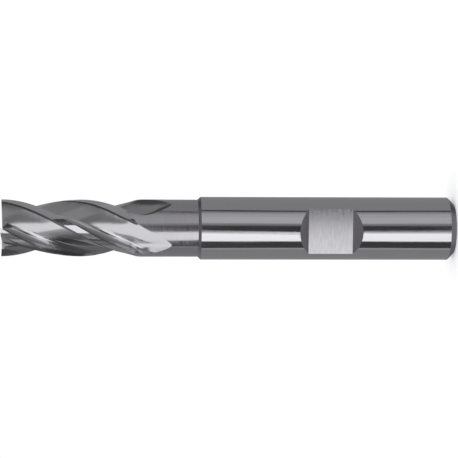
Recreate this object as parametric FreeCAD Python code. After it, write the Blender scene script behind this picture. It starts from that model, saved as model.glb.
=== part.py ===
import FreeCAD, Part
import math
import os

# Four-flute square end mill ground from one solid carbide rod, long DIN 6527 row.
# The tool axis is Z. The shank end face lies at z = 0 and the cutting tip points up.
# Sizes are in millimetres and angles in degrees.

os.makedirs("parts", exist_ok=True)

V = FreeCAD.Vector
UP = V(0, 0, 1)

# Size row of the cutter.
cutting_dia = 9.0
shank_dia = 10.0
overall_length = 72.0
cutting_length = 22.0
flute_count = 4
helix_angle = 29.5

# Shank. The end is chamfered and one side carries the drive flat of form HB.
shank_length = 40.5
end_chamfer = 0.1 * shank_dia
flat_centre = 20.0
flat_length = 7.0
flat_height = 0.85 * shank_dia
flat_wall_angle = 45.0
flat_direction = -98.0

# Neck, ground a little larger than the cutting diameter so that only the lands touch the work.
neck_dia = cutting_dia + 0.1

# Flute section, taken square to the axis.
rake_angle = 10.0
core_dia = 0.596 * cutting_dia
root_radius = 0.145 * cutting_dia
floor_radius = 0.633 * cutting_dia

# Relieved land behind each cutting edge: a narrow primary relief, then a steeper secondary one.
# A last narrow relief takes the sharp corner off the heel.
primary_angle = 7.0
primary_radius = 0.988 * cutting_dia / 2
heel_angle = 16.0
heel_radius = 0.946 * cutting_dia / 2
heel_relief_width = 0.38
heel_relief_angle = 12.5

# End teeth: the end edges are dished, relieved twice and gashed down to the flutes.
dish_angle = 2.0
end_relief = 4.0
end_relief_width = 0.09 * cutting_dia
end_clearance = 6.0
gash_slope = 38.0
gash_opening = 45.0
gash_start = 0.04 * cutting_dia

# Run-out, where the grinding wheel leaves the rod behind the cutting length.
runout_length = 5.1
flute_depth = (neck_dia - core_dia) / 2
flute_lift = 0.682 * flute_depth
lift_blend = 2.6
rise_radius = 166.0
turn_back = 4.8
land_fade = 4.0
land_lift = 0.44

cutting_radius = cutting_dia / 2
shank_radius = shank_dia / 2
neck_radius = neck_dia / 2
tooth_pitch = 360.0 / flute_count
lead = math.pi * cutting_dia / math.tan(math.radians(helix_angle))
land_end = overall_length - cutting_length
runout_end = land_end - runout_length
rise_start = land_end + 10.0
lift_start = land_end + 2.0
lift_slope = flute_lift / (lift_start - lift_blend / 2 - runout_end)
hold_start = land_end + 1.2
outside = 1.25 * shank_dia / 2
overrun = 1.2


def polar(radius, degrees, z=0.0):
    angle = math.radians(degrees)
    return V(radius * math.cos(angle), radius * math.sin(angle), z)


def ease(t, value0, slope0, value1, slope1):
    """Cubic between two values with given slopes at both ends, straight on beyond the end."""
    if t > 1.0:
        return value1 + slope1 * (t - 1.0)
    a = 2 * t ** 3 - 3 * t ** 2 + 1
    b = t ** 3 - 2 * t ** 2 + t
    c = -2 * t ** 3 + 3 * t ** 2
    d = t ** 3 - t ** 2
    return a * value0 + b * slope0 + c * value1 + d * slope1


def circle_crossing(centre_a, radius_a, centre_b, radius_b, side):
    """One crossing of two circles, the one on the left (1) or right (-1) of the line a to b."""
    line = centre_b - centre_a
    gap = line.Length
    along = (radius_a ** 2 - radius_b ** 2 + gap ** 2) / (2 * gap)
    across = math.sqrt(max(radius_a ** 2 - along ** 2, 0.0))
    unit = line / gap
    left = UP.cross(unit)
    return centre_a + unit * along + left * (across * side)


def arc_between(centre, radius, start, end):
    """Arc edge round a centre, through the point halfway between two points on it."""
    middle = (start + end) * 0.5 - centre
    middle.normalize()
    return Part.Arc(start, centre + middle * radius, end).toShape()


def helix_turn(z):
    """Turn of the section at height z. The tip edge stands at zero, right-hand helix."""
    return 360.0 * (z - overall_length) / lead


# The flute section is found once at the tip, with the cutting edge on the X axis.
# The root circle touches the rake line and the core. The floor arc touches the root circle
# and climbs to the heel of the next tooth.
rake = math.radians(rake_angle)
edge_point = V(cutting_radius, 0, 0)
rake_inward = V(-math.cos(rake), -math.sin(rake), 0)
rake_normal = V(-math.sin(rake), math.cos(rake), 0)
root_distance = core_dia / 2 + root_radius
half_b = cutting_radius * math.cos(rake)
rest = (cutting_radius ** 2 + root_radius ** 2
        - 2 * cutting_radius * root_radius * math.sin(rake) - root_distance ** 2)
rake_depth = half_b - math.sqrt(half_b ** 2 - rest)
root_centre = edge_point + rake_inward * rake_depth + rake_normal * root_radius
rake_foot = edge_point + rake_inward * rake_depth
next_heel = polar(heel_radius, tooth_pitch - heel_angle)
floor_centre = circle_crossing(next_heel, floor_radius, root_centre, floor_radius + root_radius, -1)
to_root = root_centre - floor_centre
floor_foot = floor_centre + to_root * (floor_radius / to_root.Length)
floor_top = circle_crossing(V(0, 0, 0), shank_radius, floor_centre, floor_radius, -1)
rake_top = edge_point - rake_inward * (0.25 * cutting_radius)
floor_normal = 21.8


def backed_out(z):
    """How far the wheel has left the flute at height z: a slow rise, then a soft start to a straight ramp."""
    rise = max(rise_start - z, 0.0) ** 2 / (2 * rise_radius)
    past = lift_start - z
    if past <= 0:
        return rise
    if past < lift_blend:
        return rise + lift_slope * past ** 2 / (2 * lift_blend)
    return rise + lift_slope * (past - lift_blend / 2)


def flute_turn(z):
    """Turn of the flute section at height z. It follows the helix and is held back in the run-out."""
    if z >= hold_start:
        return helix_turn(z)
    span = hold_start - runout_end
    start_turn = helix_turn(hold_start)
    slope = helix_turn(hold_start - span) - start_turn
    return ease((hold_start - z) / span, start_turn, slope, start_turn + turn_back, 0.0)


def flute_wire(z):
    """Closed outline of the space one flute takes at height z."""
    corners = [polar(1.35 * outside, 0.70 * tooth_pitch), polar(1.35 * outside, 0.28 * tooth_pitch)]
    edges = [
        Part.makeLine(rake_top, rake_foot),
        arc_between(root_centre, root_radius, rake_foot, floor_foot),
        arc_between(floor_centre, floor_radius, floor_foot, floor_top),
        Part.makeLine(floor_top, corners[0]),
        Part.makeLine(corners[0], corners[1]),
        Part.makeLine(corners[1], rake_top),
    ]
    wire = Part.Wire(edges)
    wire.translate(polar(backed_out(z), floor_normal))
    wire.rotate(V(0, 0, 0), UP, flute_turn(z))
    wire.translate(V(0, 0, z))
    return wire


def land_wire(z):
    """Closed outline of what the relief grinds take off behind one edge at height z."""
    primary_heel = polar(primary_radius, -primary_angle)
    heel = polar(heel_radius, -heel_angle)
    primary = edge_point - primary_heel
    secondary = heel - primary_heel
    front = edge_point + primary * (0.7 / primary.Length)
    along = secondary / secondary.Length
    # The land fades out towards the neck. Its heel lies where the secondary relief meets the flute floor.
    fade = max(land_end + land_fade - z, 0.0) / land_fade
    lift = polar(land_lift * fade ** 2, -heel_angle / 2)
    centre = floor_centre + polar(backed_out(z), floor_normal)
    held_back = flute_turn(z) - helix_turn(z) - tooth_pitch
    to_centre = FreeCAD.Rotation(UP, held_back).multVec(centre) - lift - primary_heel
    beside = to_centre.dot(along)
    off_line = (to_centre - along * beside).Length
    land_width = beside + math.sqrt(floor_radius ** 2 - off_line ** 2)
    bend = primary_heel + along * (land_width - heel_relief_width / 2)
    down = FreeCAD.Rotation(UP, -heel_relief_angle).multVec(along)
    back = bend + down * 0.9
    points = [
        front,
        primary_heel,
        bend,
        back,
        polar(outside, -2.5 * heel_angle),
        polar(outside, 6.0),
    ]
    wire = Part.makePolygon(points + points[:1])
    wire.translate(lift)
    wire.rotate(V(0, 0, 0), UP, helix_turn(z))
    wire.translate(V(0, 0, z))
    return wire


def heights(top, bottom, step):
    count = max(2, int(math.ceil((top - bottom) / step)))
    return [top - (top - bottom) * i / count for i in range(count + 1)]


def copies_round(shape):
    """The same cutter at every tooth."""
    result = []
    for i in range(flute_count):
        turned = shape.copy()
        turned.rotate(V(0, 0, 0), UP, i * tooth_pitch)
        result.append(turned)
    return result


def wedge(points_low, direction):
    face = Part.Face(Part.makePolygon(points_low + points_low[:1]))
    return face.extrude(direction)


# Ground rod: chamfered shank end, shank, short cone, neck and cutting part.
# The shank is drawn in two bands that meet at the plane from which the flat is placed.
cone_foot = shank_length
cone_top = shank_length + (shank_radius - neck_radius)
profile = Part.makePolygon([
    V(0, 0, 0),
    V(shank_radius - end_chamfer, 0, 0),
    V(shank_radius, 0, end_chamfer),
    V(shank_radius, 0, flat_centre),
    V(shank_radius, 0, cone_foot),
    V(neck_radius, 0, cone_top),
    V(neck_radius, 0, overall_length),
    V(0, 0, overall_length),
    V(0, 0, 0),
])
tool = Part.Face(profile).revolve(V(0, 0, 0), UP, 360)

# Drive flat: a trench across the shank with two sloping end walls.
flat_depth = shank_dia - flat_height
trench_top = flat_depth + 0.5
wall_run = trench_top / math.tan(math.radians(flat_wall_angle))
flat_low = flat_centre - flat_length / 2
flat_high = flat_centre + flat_length / 2
flat_level = shank_radius - flat_depth
trench = wedge([
    V(flat_level, -shank_dia, flat_low),
    V(flat_level, -shank_dia, flat_high),
    V(flat_level + trench_top, -shank_dia, flat_high + wall_run),
    V(flat_level + trench_top, -shank_dia, flat_low - wall_run),
], V(0, 2 * shank_dia, 0))
trench.rotate(V(0, 0, 0), UP, flat_direction)
tool = tool.cut(trench)

# Flutes with their run-out.
flute = Part.makeLoft([flute_wire(z) for z in heights(overall_length + overrun,
                                                      runout_end - 0.7, 1.0)], True, False)
tool = tool.cut(copies_round(flute))

# Relieved lands.
land = Part.makeLoft([land_wire(z) for z in heights(overall_length + overrun,
                                                    land_end - 0.3, 1.0)], True, False)
tool = tool.cut(copies_round(land))

# End teeth, worked out for the tooth whose edge lies on the X axis at the tip.
# The tooth trails towards minus Y, its gash lies towards plus Y.
dish_drop = cutting_radius * math.tan(math.radians(dish_angle))
centre_level = overall_length - dish_drop
reach = 1.3 * cutting_radius


def end_level(x, y):
    """Height of the twice relieved end surface at radius x and distance y behind the edge."""
    first = min(y, end_relief_width)
    second = max(y - end_relief_width, 0.0)
    level = centre_level + x * math.tan(math.radians(dish_angle))
    level = level - first * math.tan(math.radians(end_relief))
    return level - second * math.tan(math.radians(end_clearance))


def relief_block(y_from, y_to):
    """Space above one end relief, from the axis outwards."""
    inner = V(0, 0, 0)
    low = [V(x, -y, end_level(x, y)) for x, y in
           [(-0.3, y_from), (reach, y_from), (reach, y_to), (-0.3, y_to)]]
    high = [V(p.x, p.y, overall_length + overrun) for p in low]
    faces = [Part.Face(Part.makePolygon(low + low[:1])),
             Part.Face(Part.makePolygon(high + high[:1]))]
    for i in range(4):
        k = (i + 1) % 4
        faces.append(Part.Face(Part.makePolygon([low[i], low[k], high[k], high[i], low[i]])))
    return Part.Solid(Part.Shell(faces))


gash_height = 3.2
gash_width = gash_height * math.tan(math.radians(gash_opening))
gash_run = V(math.cos(math.radians(gash_slope)), 0, -math.sin(math.radians(gash_slope)))
gash = wedge([
    V(gash_start, 0, centre_level),
    V(gash_start, gash_width, centre_level + gash_height),
    V(gash_start, 0, centre_level + gash_height),
], gash_run * (1.6 * cutting_radius))
first_relief = relief_block(0.0, end_relief_width)
second_relief = relief_block(end_relief_width, 0.75 * cutting_radius)
for cutter in [first_relief, second_relief, gash]:
    tool = tool.cut(copies_round(cutter))

tool.exportStep("parts/end_mill.step")
print("volume", round(tool.Volume, 2), "valid", tool.isValid(), "solids", len(tool.Solids))
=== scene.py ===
import math

import bpy
from mathutils import Matrix, Vector

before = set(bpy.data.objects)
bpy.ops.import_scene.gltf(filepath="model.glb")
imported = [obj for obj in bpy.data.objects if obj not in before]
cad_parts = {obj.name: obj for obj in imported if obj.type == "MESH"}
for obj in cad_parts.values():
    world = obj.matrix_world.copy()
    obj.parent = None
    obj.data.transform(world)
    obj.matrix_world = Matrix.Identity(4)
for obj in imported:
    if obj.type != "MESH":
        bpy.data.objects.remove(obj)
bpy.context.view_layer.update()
scene = bpy.context.scene
scene.view_settings.view_transform = "Standard"

# Camera.
# The tool is seen from the side, close and a little nearer to the tip, with the tip to the left.
# The picture is 458 pixels wide and high, and the whole tool just fills its width.
eye_distance = 0.320
eye_height = 0.056
eye_side = -0.000122
picture_width = 458
pixels_per_unit_tangent = 2014.0
roll_degrees = 0.106
look_at = Vector((eye_side, 0.0, 0.03592))
eye = Vector((eye_side, -eye_distance, eye_height))
back = (eye - look_at).normalized()
right = Vector((0.0, 0.0, -1.0))
right = (right - back * right.dot(back)).normalized()
right = Matrix.Rotation(math.radians(roll_degrees), 3, back) @ right
up = back.cross(right)
turn = Matrix((right, up, back)).transposed().to_4x4()
camera_data = bpy.data.cameras.new("camera")
camera_data.sensor_width = 36.0
camera_data.lens = 36.0 * pixels_per_unit_tangent / picture_width
camera_data.clip_start = 0.01
camera_data.clip_end = 20.0
camera = bpy.data.objects.new("camera", camera_data)
camera.matrix_world = Matrix.Translation(eye) @ turn
scene.collection.objects.link(camera)
scene.camera = camera


# Floor and surroundings.
# A plain white sweep lies under and behind the tool.
# It takes a soft shadow, and reads as clean paper white wherever nothing darkens it.
def linear(hex_colour):
    """An sRGB hex colour as the linear values a shader socket takes."""
    values = [int(hex_colour[i:i + 2], 16) / 255 for i in (1, 3, 5)]
    return [v / 12.92 if v <= 0.04045 else ((v + 0.055) / 1.055) ** 2.4 for v in values] + [1.0]


def node(tree, kind, settings=None, links=None):
    """Adds one shader node, sets its properties and inputs, and links inputs to other nodes' outputs."""
    made = tree.nodes.new(kind)
    for name, value in (settings or {}).items():
        if isinstance(name, str) and hasattr(made, name):
            setattr(made, name, value)
        else:
            made.inputs[name].default_value = value
    for name, output in (links or {}).items():
        tree.links.new(output, made.inputs[name])
    return made


white = "#FFFFFF"
world = bpy.data.worlds.new("white studio")
world.use_nodes = True
world.node_tree.nodes["Background"].inputs["Color"].default_value = linear(white)
world.node_tree.nodes["Background"].inputs["Strength"].default_value = 1.0
scene.world = world

floor_mesh = bpy.data.meshes.new("floor")
reach = 1.5
floor_mesh.from_pydata([(-reach, -reach, 0), (reach, -reach, 0), (reach, reach, 0), (-reach, reach, 0)],
                       [], [(0, 1, 2, 3)])
floor = bpy.data.objects.new("floor", floor_mesh)
scene.collection.objects.link(floor)
paper = bpy.data.materials.new("white paper sweep")
paper.use_nodes = True
paper_nodes = paper.node_tree
surface = paper_nodes.nodes["Principled BSDF"]
surface.inputs["Base Color"].default_value = linear("#EDEDED")
surface.inputs["Roughness"].default_value = 0.9
ray = node(paper_nodes, "ShaderNodeLightPath")
seen = node(paper_nodes, "ShaderNodeMath", {"operation": "MAXIMUM"},
            {0: ray.outputs["Is Camera Ray"], 1: ray.outputs["Is Glossy Ray"]})
seen = node(paper_nodes, "ShaderNodeMath", {"operation": "MAXIMUM"},
            {0: seen.outputs[0], 1: ray.outputs["Is Transmission Ray"]})
glow = node(paper_nodes, "ShaderNodeMath", {"operation": "MULTIPLY", 1: 0.3}, {0: seen.outputs[0]})
surface.inputs["Emission Color"].default_value = linear(white)
paper_nodes.links.new(glow.outputs[0], surface.inputs["Emission Strength"])
floor_mesh.materials.append(paper)
floor.visible_glossy = False


# Studio cards.
# Tall cards and one soft box stand round the tool, as for any picture of bright ground metal.
# They only show as bands in the metal: they are out of the picture and shade nothing.
card_distance = 1.20
degrees_a_step = 4


def hang(name, mesh, brightness):
    """Puts an evenly bright white card into the studio, where only mirror reflections find it."""
    piece = bpy.data.objects.new(name, mesh)
    scene.collection.objects.link(piece)
    finish = bpy.data.materials.new(name)
    finish.use_nodes = True
    tree = finish.node_tree
    tree.nodes.clear()
    lit = node(tree, "ShaderNodeEmission", {"Color": linear(white), "Strength": brightness})
    node(tree, "ShaderNodeOutputMaterial", links={"Surface": lit.outputs[0]})
    mesh.materials.append(finish)
    piece.visible_camera = False
    piece.visible_diffuse = False
    piece.visible_shadow = False
    piece.visible_transmission = False


def card(name, edges, brightness, distance=card_distance):
    """A curved upright card, given by its upright edges as angle, bottom height and top height.

    Angles go round the tool in degrees from the camera's side, positive towards -X. Heights are in metres.
    Where two cards overlap, the one at the smaller distance is seen.
    """
    corners = []
    for (angle_a, bottom_a, top_a), (angle_b, bottom_b, top_b) in zip(edges, edges[1:]):
        steps = max(2, int(abs(angle_b - angle_a) / degrees_a_step))
        for i in range(steps + (angle_b == edges[-1][0])):
            part = i / steps
            angle = math.radians(-90.0 - (angle_a + (angle_b - angle_a) * part))
            for height in (bottom_a + (bottom_b - bottom_a) * part, top_a + (top_b - top_a) * part):
                corners.append((distance * math.cos(angle), distance * math.sin(angle), height))
    faces = [(2 * i, 2 * i + 2, 2 * i + 3, 2 * i + 1) for i in range(len(corners) // 2 - 1)]
    mesh = bpy.data.meshes.new(name)
    mesh.from_pydata(corners, [], faces)
    hang(name, mesh, brightness)


# The low cards light the shank and the neck.
low = -0.270
low_top = 0.060
card("low dark front", [(-10.0, low, low_top), (14.5, low, low_top)], 0.055)
card("low soft box", [(14.5, low, low_top), (49.0, low, low_top)], 1.52)
card("low dark left", [(49.0, low, low_top), (78.0, low, low_top)], 0.065)
card("low edge left", [(78.0, low, low_top), (84.0, low, low_top)], 0.50)
card("low grey left", [(84.0, low, low_top), (180.0, low, low_top)], 0.33)
card("low fading right", [(-18.0, low, low_top), (-10.0, low, low_top)], 0.30)
card("low light right", [(-42.0, low, low_top), (-18.0, low, low_top)], 0.64)
card("low light far right", [(-54.5, low, low_top), (-42.0, low, low_top)], 0.56)
card("low fair edge right", [(-58.5, low, low_top), (-54.5, low, low_top)], 0.46)
card("low dim edge right", [(-64.5, low, low_top), (-58.5, low, low_top)], 0.35)
card("low edge right", [(-70.0, low, low_top), (-64.5, low, low_top)], 0.04)
card("low grey right", [(-180.0, low, low_top), (-70.0, low, low_top)], 0.335)

# The middle cards light the rake faces and, above them, the lands.
land_low = 0.140
land_top = 0.212
middle_top = 0.285
card("middle light right", [(-90.0, low_top, land_low), (-2.0, low_top, land_low)], 0.52)
card("middle soft box", [(-2.0, low_top, land_low), (70.0, low_top, land_low)], 1.25)
card("middle dark left", [(70.0, low_top, land_low), (100.0, low_top, land_low)], 0.14)
card("land dark front", [(-13.0, land_low, middle_top), (13.0, land_low, middle_top)], 0.03)
card("land soft box", [(13.0, land_low, middle_top), (45.5, land_low, middle_top)], 1.40)
card("land dark left", [(45.5, land_low, land_top), (80.0, land_low, land_top)], 0.06)
card("land light left", [(45.5, land_top, middle_top), (84.0, land_top, middle_top)], 1.15)
card("middle grey left", [(78.0, low_top, middle_top), (180.0, low_top, middle_top)], 0.32, 1.21)
card("middle grey right", [(-180.0, low_top, middle_top), (-10.0, low_top, middle_top)], 0.375, 1.21)

# The deep cards light the roots of the flutes, which look down past the shank.
card("deep soft box", [(-12.0, -0.82, low), (0.0, -0.72, low), (10.0, -0.58, low), (20.0, -0.45, low),
                       (30.0, -0.35, low), (38.0, -0.28, low)], 1.10)
card("deep light right", [(-40.0, -1.02, low), (-12.0, -0.92, low)], 0.42)
card("deep grey right", [(-180.0, -0.80, low), (-60.0, -0.95, low), (-40.0, -1.05, low)], 0.28)
card("deep dark left", [(-180.0, -1.75, low), (100.0, -1.75, low)], 0.09, 1.25)
card("deep grey left", [(20.0, -1.75, -1.50), (45.0, -1.75, -1.15), (58.0, -1.75, -0.80), (80.0, -1.75, low),
                        (180.0, -1.75, low)], 0.21, 1.22)

# The high cards light the flutes, which look up along the tool.
card("high soft box", [(-2.0, 0.284, 0.285), (3.0, 0.28, 0.317), (10.0, 0.28, 0.406), (18.0, 0.28, 0.485),
                       (29.0, 0.28, 0.570), (42.0, 0.28, 0.68), (44.0, 0.28, 1.30), (70.0, 0.28, 1.30),
                       (112.0, 0.28, 1.00)], 1.20)
card("high light front", [(-24.0, 0.90, 1.45), (46.0, 0.84, 1.45)], 1.10, 1.19)
card("high dark front", [(-20.0, middle_top, 0.84), (44.0, middle_top, 0.84)], 0.245, 1.215)
card("high light right", [(-65.0, middle_top, 0.70), (-12.0, middle_top, 0.70)], 0.38, 1.22)
card("high dark right", [(-180.0, 0.40, 1.30), (-110.0, 0.475, 1.30), (-90.0, 0.584, 1.30),
                         (-75.0, 0.634, 1.30), (-60.0, 0.70, 1.30), (-40.0, 0.783, 1.30),
                         (-30.0, 0.80, 1.30)], 0.13)
card("high grey", [(-180.0, middle_top, 1.10), (180.0, middle_top, 1.10)], 0.30, 1.25)
card("high dark top", [(-180.0, 1.10, 1.80), (180.0, 1.10, 1.80)], 0.20, 1.24)

# One small dark flag stands close to the run-out of the upper flute.
flag_distance = 0.020
card("flag at the run-out", [(-128.0, 0.0495, 0.0557), (-116.0, 0.0495, 0.0563), (-95.0, 0.0495, 0.0554),
                             (-89.0, 0.0495, 0.0539), (-85.0, 0.0495, 0.0525), (-82.5, 0.0495, 0.0512)],
     0.09, flag_distance)

# Four small flags stand close to the tip, each darker than the one before.
flag_low = 0.0640
flag_top = 0.0745
card("light flag at the tip", [(63.0, flag_low, flag_top), (74.0, flag_low, flag_top)], 0.50, flag_distance)
card("mid flag at the tip", [(74.0, flag_low, flag_top), (86.0, flag_low, flag_top)], 0.33, flag_distance)
card("deep flag at the tip", [(86.0, flag_low, flag_top), (97.0, flag_low, flag_top)], 0.19, flag_distance)
card("dark flag at the tip", [(97.0, flag_low, flag_top), (160.0, flag_low, flag_top)], 0.12, flag_distance)


# Two level caps close the studio at the top and the bottom.
cap_radius = 1.3


def cap(name, height, brightness):
    """A level round card above or below the tool, which the chamfer and the cone look at."""
    angles = [math.radians(degrees) for degrees in range(0, 360, 15)]
    corners = [(cap_radius * math.cos(angle), cap_radius * math.sin(angle), height) for angle in angles]
    mesh = bpy.data.meshes.new(name)
    mesh.from_pydata(corners, [], [tuple(range(len(corners)))])
    hang(name, mesh, brightness)


cap("cap above", 1.78, 0.25)
cap("cap below", -1.73, 0.36)


# End mill.
# One rod of sintered tungsten carbide, ground all over with diamond wheels and left bare.
# Each ground surface has its own grain: round the neck, along the flutes, across the flat.
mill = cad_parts["end_mill"]
carbide_grey = "#C2C1C5"


def ground_carbide(name, colour):
    """Bare tungsten carbide as one kind of grinding wheel leaves it."""
    finish = bpy.data.materials.new(name)
    finish.use_nodes = True
    metal = finish.node_tree.nodes["Principled BSDF"]
    metal.inputs["Base Color"].default_value = linear(colour)
    metal.inputs["Metallic"].default_value = 1.0
    return finish, metal


shank_finish, shank_metal = ground_carbide("centreless ground carbide", carbide_grey)
neck_finish, neck_metal = ground_carbide("plunge ground carbide", "#B3B1B6")
cone_finish, cone_metal = ground_carbide("ground carbide step", "#A8A6AC")
flute_finish, flute_metal = ground_carbide("flute ground carbide", "#BFBEC1")
land_finish, land_metal = ground_carbide("relief ground carbide", carbide_grey)
# Painted shade: the heel gets a dark grey that stands for the shade in the step behind each land.
heel_painted_shade, heel_painted_shade_metal = ground_carbide("dull heel with painted shade", "#6E6C72")
flat_finish, flat_metal = ground_carbide("surface ground flat", "#B7B6BB")

# The narrow surfaces are too small to show their grain.
cone_metal.inputs["Roughness"].default_value = 0.30
land_metal.inputs["Roughness"].default_value = 0.10
heel_painted_shade_metal.inputs["Roughness"].default_value = 0.40

# The real land is one evenly curved relief, so it is shaded by the direction out from the axis,
# leaned back from the edge by the relief angle in degrees, and towards the tip by a slope that
# is given at the shank end and falls with every metre of height.
relief_angle = 12.0
foot_lean = 0.157
lean_per_metre = -1.96
tree = land_finish.node_tree
place = node(tree, "ShaderNodeTexCoord")
level = node(tree, "ShaderNodeVectorMath", {"operation": "MULTIPLY", 1: (1.0, 1.0, 0.0)},
             {0: place.outputs["Object"]})
outward = node(tree, "ShaderNodeVectorMath", {"operation": "NORMALIZE"}, {0: level.outputs[0]})
relieved = node(tree, "ShaderNodeVectorRotate",
                {"rotation_type": "Z_AXIS", "Angle": math.radians(-relief_angle)},
                {"Vector": outward.outputs[0]})
height = node(tree, "ShaderNodeSeparateXYZ", links={0: place.outputs["Object"]})
lean = node(tree, "ShaderNodeMath", {"operation": "MULTIPLY_ADD", 1: lean_per_metre, 2: foot_lean},
            {0: height.outputs["Z"]})
forward = node(tree, "ShaderNodeCombineXYZ", links={"Z": lean.outputs[0]})
leaned = node(tree, "ShaderNodeVectorMath", {"operation": "ADD"},
              {0: relieved.outputs[0], 1: forward.outputs[0]})
facing = node(tree, "ShaderNodeVectorMath", {"operation": "NORMALIZE"}, {0: leaned.outputs[0]})
tree.links.new(facing.outputs[0], land_metal.inputs["Normal"])


# Grinding grain. Each kind of grinding leaves its own fine pattern, given by its size in millimetres
# along X, Y and Z. The real lines are a few hundredths of a millimetre apart and too fine to show,
# so they are drawn as coarse as the picture needs. Depths are in metres.
def grain(finish, metal, grain_size, roughness_low, roughness_high, depth):
    """Streaks of the given size that vary the roughness and raise the surface by a depth in metres."""
    tree = finish.node_tree
    place = node(tree, "ShaderNodeTexCoord")
    scaled = node(tree, "ShaderNodeVectorMath",
                  {"operation": "MULTIPLY", 1: [1000.0 / size for size in grain_size]},
                  {0: place.outputs["Object"]})
    streaks = node(tree, "ShaderNodeTexNoise", {"Scale": 1.0, "Detail": 3.0, "Roughness": 0.6},
                   {"Vector": scaled.outputs[0]})
    dull = node(tree, "ShaderNodeMapRange",
                {"From Min": 0.3, "From Max": 0.7, "To Min": roughness_low, "To Max": roughness_high},
                {"Value": streaks.outputs["Fac"]})
    tree.links.new(dull.outputs[0], metal.inputs["Roughness"])
    raised = node(tree, "ShaderNodeBump", {"Strength": 1.0, "Distance": depth},
                  {"Height": streaks.outputs["Fac"]})
    tree.links.new(raised.outputs[0], metal.inputs["Normal"])
    return raised


grain(neck_finish, neck_metal, (6.0, 6.0, 0.40), 0.15, 0.23, 0.0000090)
grain(shank_finish, shank_metal, (0.5, 0.5, 9.0), 0.08, 0.14, 0.0000014)
grain(flute_finish, flute_metal, (0.9, 0.9, 1.6), 0.13, 0.21, 0.0000040)
flat_bump = grain(flat_finish, flat_metal, (1.6, 1.6, 0.22), 0.17, 0.27, 0.0000038)

# The wheel leaves the flat very slightly crowned across, by this turn of its direction per metre.
crown = 11.0
tree = flat_finish.node_tree
facing = node(tree, "ShaderNodeNewGeometry")
across = node(tree, "ShaderNodeSeparateXYZ", links={0: facing.outputs["Position"]})
turned = node(tree, "ShaderNodeMath", {"operation": "MULTIPLY", 1: crown}, {0: across.outputs["X"]})
crowned = node(tree, "ShaderNodeVectorRotate", {"rotation_type": "Z_AXIS"},
               {"Vector": facing.outputs["Normal"], "Angle": turned.outputs[0]})
tree.links.new(crowned.outputs[0], flat_bump.inputs["Normal"])

mesh = mill.data
mesh.materials.clear()
for finish in (flute_finish, shank_finish, neck_finish, cone_finish, land_finish, heel_painted_shade, flat_finish):
    mesh.materials.append(finish)
FLUTE, SHANK, NECK, CONE, LAND, HEEL, FLAT = range(7)

# Where the surfaces lie. Heights and radii are in millimetres from the shank end and the axis.
cone_foot = 40.5
cone_top = 40.95
flutes_start = 50.6
neck_end = 51.5
tip = 72.0
nearly_shank_radius = 4.99
nearly_neck_radius = 4.54
least_land_radius = 3.9
flat_direction = Vector((math.cos(math.radians(-98.0)), math.sin(math.radians(-98.0)), 0.0))

# Angles round the tool are in degrees and are taken back along the helix to the tip, where each
# of the four teeth spans a quarter turn. The land and the heel are told apart by the way they face.
lead = math.pi * 9.0 / math.tan(math.radians(29.5))
tooth_span = 90.0
land_facing = (-34.0, -3.0)
heel_facing = (-46.5, -34.0)


def helix_angle(vector, height):
    """The angle of a direction from the axis, taken back along the helix to the tip."""
    return math.degrees(math.atan2(vector.y, vector.x)) - 360.0 * (height - tip) / lead


def surface_of(face):
    """Which ground surface a face of the mesh belongs to."""
    corners = [mesh.vertices[i].co * 1000.0 for i in face.vertices]
    centre = sum(corners, Vector()) / len(corners)
    least_radius = min(math.hypot(corner.x, corner.y) for corner in corners)
    if centre.z < cone_foot:
        if face.normal.dot(flat_direction) > 0.999:
            return FLAT
        return SHANK if least_radius > nearly_shank_radius and abs(face.normal.z) < 0.1 else CONE
    if centre.z < cone_top:
        return CONE
    if least_radius > nearly_neck_radius and centre.z < neck_end:
        return NECK
    behind_edge = max((1.0 - helix_angle(corner, corner.z)) % tooth_span - 1.0 for corner in corners)
    facing = (helix_angle(face.normal, centre.z) + 60.0) % tooth_span - 60.0
    on_tooth = 3.0 < behind_edge < 30.0 and least_radius > least_land_radius
    if not on_tooth or abs(face.normal.z) > 0.6 or centre.z < flutes_start:
        return FLUTE
    if land_facing[0] < facing < land_facing[1]:
        return LAND
    return HEEL if heel_facing[0] < facing <= heel_facing[1] else FLUTE


for face in mesh.polygons:
    face.material_index = surface_of(face)
